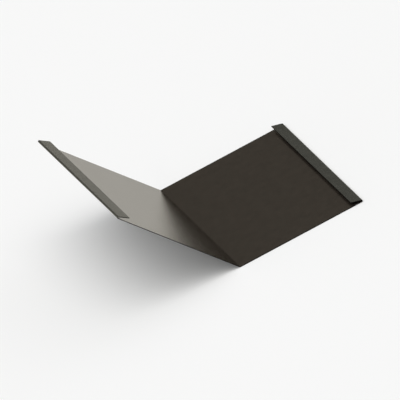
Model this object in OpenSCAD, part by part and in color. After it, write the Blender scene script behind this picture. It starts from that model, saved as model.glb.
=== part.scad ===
// Valley flashing: one sheet of metal, folded along its middle into a wide V, with an open hook
// turned back over the trough along each outer edge. Sizes are in millimetres.
// It lies as it comes to rest on a level surface: one leg flat, the other leaning away from it.
// The origin is on the underside, halfway along the valley, where the fold meets the flat leg.
// +Y runs along the valley, +X across the flat leg and +Z up.

/* [Sheet] */
// Thickness of the sheet metal
sheet_t = 1.5; // [0.6:0.01:2]
// Length of the piece along the valley
valley_length = 609.6; // [300:0.1:3050]

/* [Legs] */
// Width of a leg, from the sharp corner under the fold to the rounded outside of its hook
leg_width = 279.4; // [150:0.1:400]
// Angle between the two legs, in degrees
valley_angle = 130; // [90:1:160]
// Inside radius of the fold between the legs
fold_radius = 1.5; // [0.5:0.1:5]

/* [Hooks] */
// Depth of a hook, from its rounded outside to its cut edge
hook_depth = 25; // [12:0.1:40]
// Angle at which a hook stands open over its leg, in degrees
hook_opening = 15; // [4:1:45]
// Inside radius of the bend that turns a hook back
hook_radius = 1; // [0.5:0.1:4]

/* [Hidden] */
$fn = 96;

// How far the sheet turns at the fold and at each hook
fold_turn = 180 - valley_angle;
hook_turn = 180 - hook_opening;

// Outside radii of the two kinds of bend
fold_outside = fold_radius + sheet_t;
hook_outside = hook_radius + sheet_t;

// Flat stretches left between the bends
leg_flat = leg_width - fold_outside * tan(fold_turn / 2) - hook_outside;
hook_flat = hook_depth - hook_outside;

// Flat run of sheet along +X, its upper face on the X axis; what follows starts at its far end
module flat_run(length) {
    translate([0, -sheet_t])
        square([length, sheet_t]);
    translate([length, 0])
        children();
}

// All that lies before the end of a bend, seen from the bend's centre, and the sheet that follows
module before_end(radius) {
    outside = radius + sheet_t;
    translate([-2 * outside, -2 * outside])
        square([2 * outside, 4 * outside]);
    translate([-outside, -outside])
        square([2 * outside, sheet_t]);
}

// Bend that curls the sheet up and back; what follows carries on in the new direction.
// It reaches a little way into the flat sheet on both sides, so that they're one piece with it.
module bend_run(turn, radius) {
    translate([0, radius]) {
        intersection() {
            difference() {
                circle(radius + sheet_t);
                circle(radius);
            }
            mirror([1, 0])
                before_end(radius);
            rotate(turn)
                before_end(radius);
        }
        rotate(turn)
            translate([0, -radius])
                children();
    }
}

// One leg of the V with the hook at its outer edge
module leg_and_hook() {
    flat_run(leg_flat)
        bend_run(hook_turn, hook_radius)
            flat_run(hook_flat);
}

// Cross-section of the folded sheet: the flat leg to the right, the fold and the raised leg left
module folded_section() {
    leg_and_hook();
    mirror([1, 0])
        bend_run(fold_turn, fold_radius)
            leg_and_hook();
}

module valley_flashing() {
    color("#3c3731")
        rotate([90, 0, 0])
            linear_extrude(height = valley_length, center = true)
                translate([0, sheet_t])
                    folded_section();
}

valley_flashing();
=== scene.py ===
"""Valley flashing: one folded sheet with an open hook along each outer edge, coated dark bronze."""

import math

import bmesh
import bpy
from mathutils import Matrix, Vector


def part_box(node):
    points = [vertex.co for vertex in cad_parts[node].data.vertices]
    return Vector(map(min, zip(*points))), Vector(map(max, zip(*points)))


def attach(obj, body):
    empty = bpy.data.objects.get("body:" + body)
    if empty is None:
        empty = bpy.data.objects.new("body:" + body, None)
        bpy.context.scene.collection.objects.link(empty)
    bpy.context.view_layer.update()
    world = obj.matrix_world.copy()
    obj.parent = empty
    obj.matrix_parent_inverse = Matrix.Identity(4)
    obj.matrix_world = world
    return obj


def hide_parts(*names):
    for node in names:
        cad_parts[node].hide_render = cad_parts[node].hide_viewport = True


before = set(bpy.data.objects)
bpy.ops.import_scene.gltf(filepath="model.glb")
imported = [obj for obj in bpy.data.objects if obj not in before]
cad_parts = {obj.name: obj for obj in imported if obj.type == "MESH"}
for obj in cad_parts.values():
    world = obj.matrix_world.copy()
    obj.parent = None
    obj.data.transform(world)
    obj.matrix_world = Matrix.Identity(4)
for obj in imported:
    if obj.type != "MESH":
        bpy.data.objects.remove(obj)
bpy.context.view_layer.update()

# Sizes of the sheet, in metres, as in the CAD
SHEET_T = 0.0015
LEG_WIDTH = 0.2794
VALLEY_ANGLE = math.radians(130)
FOLD_RADIUS = 0.0015
HOOK_DEPTH = 0.025
HOOK_OPENING = math.radians(15)
HOOK_RADIUS = 0.001
NEAR_END, FAR_END = (corner.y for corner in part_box("valley_flashing"))

# What follows from them
FOLD_TURN = math.pi - VALLEY_ANGLE
HOOK_TURN = math.pi - HOOK_OPENING
FOLD_CORNER = (FOLD_RADIUS + SHEET_T) * math.tan(FOLD_TURN / 2)
HOOK_OUTSIDE = HOOK_RADIUS + SHEET_T
LEG_FLAT = LEG_WIDTH - FOLD_CORNER - HOOK_OUTSIDE
HOOK_FLAT = HOOK_DEPTH - HOOK_OUTSIDE

# How finely the mesh follows the bends
FOLD_STEPS = 14
HOOK_STEPS = 28
# How far and how finely its cut edges are rounded: those where the surface turns this sharply
EDGE_ROUND = 0.00018
EDGE_STEPS = 2
EDGE_TURN = math.radians(45)
# How far large faces outweigh small ones in the shading of a bend, where 50 is not at all
LARGE_FACE_WEIGHT = 100

# Materials. The bronze coat is on the face. The back has a thinner, greyer and duller one.
# Each has its darker and lighter tone, and the range of its roughness.
FACE_TONES = (0.0262, 0.0211, 0.0169, 1), (0.0464, 0.0374, 0.0299, 1)
FACE_ROUGHNESS = 0.2, 0.208
BACK_TONES = (0.052, 0.053, 0.0455, 1), (0.076, 0.077, 0.0665, 1)
BACK_ROUGHNESS = 0.22, 0.25
COAT_METALLIC = 0.25
COAT_GLOSS_TINT = (1.0, 0.88, 0.6, 1)
COAT_IOR = 1.2
# Cycles to a metre of the changes of tone, of the rolling streaks and of the orange peel
TONE_SCALE = 45
STREAK_SCALE = 90
PEEL_SCALE = 420
# The streaks run along the valley
STREAK_STRETCH = (1, 0.03, 1)
PEEL_DEPTH = 0.00005

# The sheared edge of the sheet, dull, with fine tears. Its near-black colour is painted shade: it stands
# in for the shadow and dark outline along the edge, not the bare metal's own colour
CUT_PAINTED_SHADE_TONES = (0.004, 0.0035, 0.003, 1), (0.01, 0.0085, 0.007, 1)
CUT_ROUGHNESS = 0.5, 0.7
CUT_IOR = 1.1
TEAR_SCALE = 2500
TEAR_DEPTH = 0.00004
DULLNESS_SCALE = 300

# The floor reaches far beyond the view, and lies just clear of the sheet
FLOOR_HALF = 30
FLOOR_GAP = 0.0002
FLOOR_COLOUR = (0.9, 0.9, 0.9, 1)
FLOOR_IOR = 1.2

# Brightness of the backdrop by the sine of its height over the horizon: as pale as the floor at the
# horizon, then a dark band, and dim overhead
BACKDROP = [
    (0.0, 0.92),
    (0.01, 0.9),
    (0.03, 0.02),
    (0.19, 0.02),
    (0.26, 0.12),
    (0.34, 0.21),
    (1.0, 0.23),
]
FILL_COLOUR = (0.97, 0.985, 1.0, 1)
FILL_LEVEL = 0.5
KEY_COLOUR = (1.0, 0.99, 0.97)
KEY_STRENGTH = 2.08
KEY_ELEVATION = math.radians(58)
KEY_AZIMUTH = math.radians(-100)
KEY_SPREAD = math.radians(70)
KEY_DISTANCE = 2

# The photograph's view. It shows the V upright on its fold, and the camera keeps that view.
PHOTO_TILT = FOLD_TURN / 2
PHOTO_AZIMUTH = math.radians(15.02)
PHOTO_ELEVATION = math.radians(14.95)
PHOTO_WIDTH_PX = 400
METRES_PER_PX = 0.0019865
# Where the photograph shows the near end of the fold, from its left and top edges
FOLD_X_PX = 240.15
FOLD_Y_PX = 267.44
CAMERA_DISTANCE = 2.0
CAMERA_CLIP = 0.01, 60


# Helpers for node materials

def add_node(tree, kind, **inputs):
    """A new node, with the given inputs set or linked."""
    node = tree.nodes.new(kind)
    for name, value in inputs.items():
        socket = node.inputs[name.replace("_", " ")]
        if isinstance(value, bpy.types.NodeSocket):
            tree.links.new(value, socket)
        else:
            socket.default_value = value
    return node


def new_material(name):
    """A node material with nothing in it but its output, and that output."""
    material = bpy.data.materials.new(name)
    material.use_nodes = True
    tree = material.node_tree
    tree.nodes.clear()
    return material, tree, tree.nodes.new("ShaderNodeOutputMaterial")


def noise(tree, scale, detail=2.0, grain=0.5, stretch=(1, 1, 1)):
    """Noise from 0 to 1 in the sheet's own space, with scale cycles to a metre.

    Each finer layer of it is grain times as strong as the last.
    """
    place = add_node(tree, "ShaderNodeTexCoord").outputs["Object"]
    if stretch != (1, 1, 1):
        place = add_node(tree, "ShaderNodeMapping", Vector=place, Scale=stretch).outputs["Vector"]
    settings = {"Vector": place, "Scale": scale, "Detail": detail, "Roughness": grain}
    return add_node(tree, "ShaderNodeTexNoise", **settings).outputs["Fac"]


def spread(tree, value, low, high):
    """The middle half of a 0 to 1 noise, spread from low to high."""
    settings = {"Value": value, "From_Min": 0.25, "From_Max": 0.75, "To_Min": low, "To_Max": high}
    return add_node(tree, "ShaderNodeMapRange", **settings).outputs["Result"]


def between(tree, value, dark, light):
    """A colour from dark to light, by a value from 0 to 1."""
    ramp = add_node(tree, "ShaderNodeValToRGB", Fac=value)
    first, last = ramp.color_ramp.elements
    first.color, last.color = dark, light
    return ramp.outputs["Color"]


def relief(tree, height, depth):
    """The surface's normal over a relief of the given depth in metres."""
    bump = add_node(tree, "ShaderNodeBump", Height=height, Strength=1.0, Distance=depth)
    return bump.outputs["Normal"]


# Materials

def coat_material(name, tones, roughness):
    """Satin coil coating, with cloudy changes of tone, rolling streaks and orange peel."""
    material, tree, output = new_material(name)
    tone = noise(tree, TONE_SCALE, detail=8, grain=0.75)
    streaks = noise(tree, STREAK_SCALE, stretch=STREAK_STRETCH)
    peel = noise(tree, PEEL_SCALE, detail=1)
    shader = add_node(
        tree,
        "ShaderNodeBsdfPrincipled",
        Base_Color=between(tree, spread(tree, tone, 0, 1), *tones),
        Roughness=spread(tree, streaks, *roughness),
        Metallic=COAT_METALLIC,
        Specular_Tint=COAT_GLOSS_TINT,
        IOR=COAT_IOR,
        Normal=relief(tree, peel, PEEL_DEPTH),
    )
    tree.links.new(shader.outputs["BSDF"], output.inputs["Surface"])
    return material


def painted_shade_edge_material():
    """Sheared edge of the sheet: dull and finely torn, with a near-black colour that is painted shade
    along the edge.
    """
    material, tree, output = new_material("cut_edge")
    tears = noise(tree, TEAR_SCALE, detail=3)
    dullness = noise(tree, DULLNESS_SCALE)
    shader = add_node(
        tree,
        "ShaderNodeBsdfPrincipled",
        Base_Color=between(tree, spread(tree, tears, 0, 1), *CUT_PAINTED_SHADE_TONES),
        Roughness=spread(tree, dullness, *CUT_ROUGHNESS),
        IOR=CUT_IOR,
        Normal=relief(tree, tears, TEAR_DEPTH),
    )
    tree.links.new(shader.outputs["BSDF"], output.inputs["Surface"])
    return material


def floor_material():
    """Plain matt paint, nearly white."""
    material, tree, output = new_material("pale_floor")
    shader = add_node(
        tree, "ShaderNodeBsdfPrincipled", Base_Color=FLOOR_COLOUR, Roughness=1.0, IOR=FLOOR_IOR
    )
    tree.links.new(shader.outputs["BSDF"], output.inputs["Surface"])
    return material


# The folded sheet

# Places of its materials in the mesh
FACE, BACK, CUT = range(3)


def walk(*runs):
    """The upper face in section, as points with normals, from the end of the fold along +X.

    A run is the length of a flat stretch, or the turn, inside radius and steps of an upward bend.
    """
    point, normal = Vector((0, SHEET_T)), Vector((0, 1))
    path = [(point, normal)]
    for run in runs:
        if isinstance(run, float):
            point = point + run * Vector((normal.y, -normal.x))
            path.append((point, normal))
            continue
        turn, radius, steps = run
        centre = point + radius * normal
        step = Matrix.Rotation(turn / steps, 2)
        for _ in range(steps):
            normal = step @ normal
            point = centre - radius * normal
            path.append((point, normal))
    return path


def section():
    """The upper face in section, from the raised leg's cut edge to the resting leg's."""
    hook = (HOOK_TURN, HOOK_RADIUS, HOOK_STEPS)
    fold = (FOLD_TURN, FOLD_RADIUS, FOLD_STEPS)
    resting = walk(LEG_FLAT, hook, HOOK_FLAT)
    raised = walk(fold, LEG_FLAT, hook, HOOK_FLAT)
    mirrored = [(Vector((-point.x, point.y)), Vector((-normal.x, normal.y))) for point, normal in raised]
    return mirrored[:0:-1] + resting


def swept(path):
    """The sheet under an upper face in section, from end to end, as one closed mesh."""
    upper = [point for point, normal in path]
    lower = [point - SHEET_T * normal for point, normal in path]
    outline = upper + lower[::-1]
    last = len(path) - 1
    total = len(outline)

    mesh = bmesh.new()
    near, far = ([mesh.verts.new((p.x, y, p.y)) for p in outline] for y in (NEAR_END, FAR_END))
    for i in range(total):
        j = (i + 1) % total
        face = mesh.faces.new((near[i], near[j], far[j], far[i]))
        face.material_index = FACE if i < last else BACK
        # The lips' cut faces take the near-black edge material, which is painted shade
        if i in (last, total - 1):
            face.material_index = CUT
    # The end caps take the same near-black painted shade
    for ring in (near, far):
        for i in range(last):
            cap = mesh.faces.new((ring[i], ring[i + 1], ring[total - 2 - i], ring[total - 1 - i]))
            cap.material_index = CUT
    bmesh.ops.recalc_face_normals(mesh, faces=mesh.faces)
    mesh.normal_update()
    return mesh


def round_cut_edges(mesh):
    """Rounds the sharp edges slightly, as a shear leaves them."""
    sharp = [edge for edge in mesh.edges if edge.calc_face_angle(0) > EDGE_TURN]
    shape = {"offset": EDGE_ROUND, "segments": EDGE_STEPS, "profile": 0.5}
    rounded = bmesh.ops.bevel(mesh, geom=sharp, affect="EDGES", **shape)
    # The rounded faces take the near-black painted shade, so that every edge shows as a dark line
    for face in rounded["faces"]:
        face.material_index = CUT


def folded_sheet(*coats):
    """The sheet as a piece, its bends smooth. The coats are those of the face, back and cut edges."""
    mesh = swept(section())
    round_cut_edges(mesh)
    for face in mesh.faces:
        face.smooth = True
    data = bpy.data.meshes.new("folded_sheet")
    mesh.to_mesh(data)
    mesh.free()
    for coat in coats:
        data.materials.append(coat)
    piece = bpy.data.objects.new("folded_sheet", data)
    bpy.context.collection.objects.link(piece)
    weighted = piece.modifiers.new("weighted_normals", "WEIGHTED_NORMAL")
    weighted.weight = LARGE_FACE_WEIGHT
    weighted.keep_sharp = True
    return piece


# The floor

def floor():
    """A plain pale floor, wide enough that its rim never shows."""
    half = FLOOR_HALF
    corners = [(-half, -half, 0), (half, -half, 0), (half, half, 0), (-half, half, 0)]
    data = bpy.data.meshes.new("floor")
    data.from_pydata(corners, [], [(0, 1, 2, 3)])
    data.materials.append(floor_material())
    plane = bpy.data.objects.new("floor", data)
    plane.location.z = -FLOOR_GAP
    bpy.context.collection.objects.link(plane)


# Light

def backdrop_colour(tree):
    """The backdrop's grey in each direction, by its height over the horizon."""
    direction = add_node(tree, "ShaderNodeTexCoord").outputs["Generated"]
    height = add_node(tree, "ShaderNodeSeparateXYZ", Vector=direction).outputs["Z"]
    ramp = add_node(tree, "ShaderNodeValToRGB", Fac=height)
    stops = ramp.color_ramp.elements
    while len(stops) < len(BACKDROP):
        stops.new(1.0)
    for stop, (place, level) in zip(stops, BACKDROP):
        stop.position = place
        stop.color = (level, level, level, 1)
    return ramp.outputs["Color"]


def soft_world():
    """A backdrop that is seen and mirrored, and a plain soft fill that lights everything evenly."""
    world = bpy.data.worlds.new("studio")
    bpy.context.scene.world = world
    world.use_nodes = True
    tree = world.node_tree
    tree.nodes.clear()
    output = tree.nodes.new("ShaderNodeOutputWorld")
    backdrop = add_node(tree, "ShaderNodeBackground", Color=backdrop_colour(tree), Strength=1.0)
    fill = add_node(tree, "ShaderNodeBackground", Color=FILL_COLOUR, Strength=FILL_LEVEL)
    path = add_node(tree, "ShaderNodeLightPath")
    lights = add_node(tree, "ShaderNodeMixShader", Fac=path.outputs["Is Diffuse Ray"])
    tree.links.new(backdrop.outputs[0], lights.inputs[1])
    tree.links.new(fill.outputs[0], lights.inputs[2])
    tree.links.new(lights.outputs[0], output.inputs["Surface"])


def key_light():
    """One broad soft light, high up beyond the near end and a little on the raised leg's side."""
    data = bpy.data.lights.new("key_light", "SUN")
    data.energy = KEY_STRENGTH
    data.angle = KEY_SPREAD
    data.color = KEY_COLOUR
    lamp = bpy.data.objects.new("key_light", data)
    across = math.cos(KEY_ELEVATION)
    source = Vector((
        across * math.cos(KEY_AZIMUTH),
        across * math.sin(KEY_AZIMUTH),
        math.sin(KEY_ELEVATION),
    ))
    lamp.location = KEY_DISTANCE * source
    lamp.rotation_euler = source.to_track_quat("Z", "Y").to_euler()
    bpy.context.collection.objects.link(lamp)


# Camera

def photo_camera():
    """A parallel camera that sees the piece as the photograph does."""
    upright = Matrix.Rotation(PHOTO_TILT, 3, "Y")
    azimuth, elevation = PHOTO_AZIMUTH, PHOTO_ELEVATION
    right = upright @ Vector((math.cos(azimuth), -math.sin(azimuth), 0))
    level = Vector((-math.sin(azimuth), -math.cos(azimuth), 0))
    back = upright @ (math.cos(elevation) * level + math.sin(elevation) * Vector((0, 0, 1)))
    up = back.cross(right)
    fold_end = Vector((-FOLD_CORNER, NEAR_END, 0))
    middle = PHOTO_WIDTH_PX / 2
    aim = fold_end + METRES_PER_PX * ((middle - FOLD_X_PX) * right + (FOLD_Y_PX - middle) * up)
    data = bpy.data.cameras.new("photo_camera")
    data.type = "ORTHO"
    data.ortho_scale = PHOTO_WIDTH_PX * METRES_PER_PX
    data.clip_start, data.clip_end = CAMERA_CLIP
    camera = bpy.data.objects.new("photo_camera", data)
    camera.rotation_mode = "QUATERNION"
    camera.rotation_quaternion = Matrix((right, up, back)).transposed().to_quaternion()
    camera.location = aim + CAMERA_DISTANCE * back
    bpy.context.collection.objects.link(camera)
    bpy.context.scene.camera = camera


# The scene

face_coat = coat_material("bronze_coat", FACE_TONES, FACE_ROUGHNESS)
back_coat = coat_material("back_coat", BACK_TONES, BACK_ROUGHNESS)
sheet = folded_sheet(face_coat, back_coat, painted_shade_edge_material())
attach(sheet, "root")
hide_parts("valley_flashing")

floor()
soft_world()
key_light()
photo_camera()
bpy.context.scene.view_settings.view_transform = "Standard"
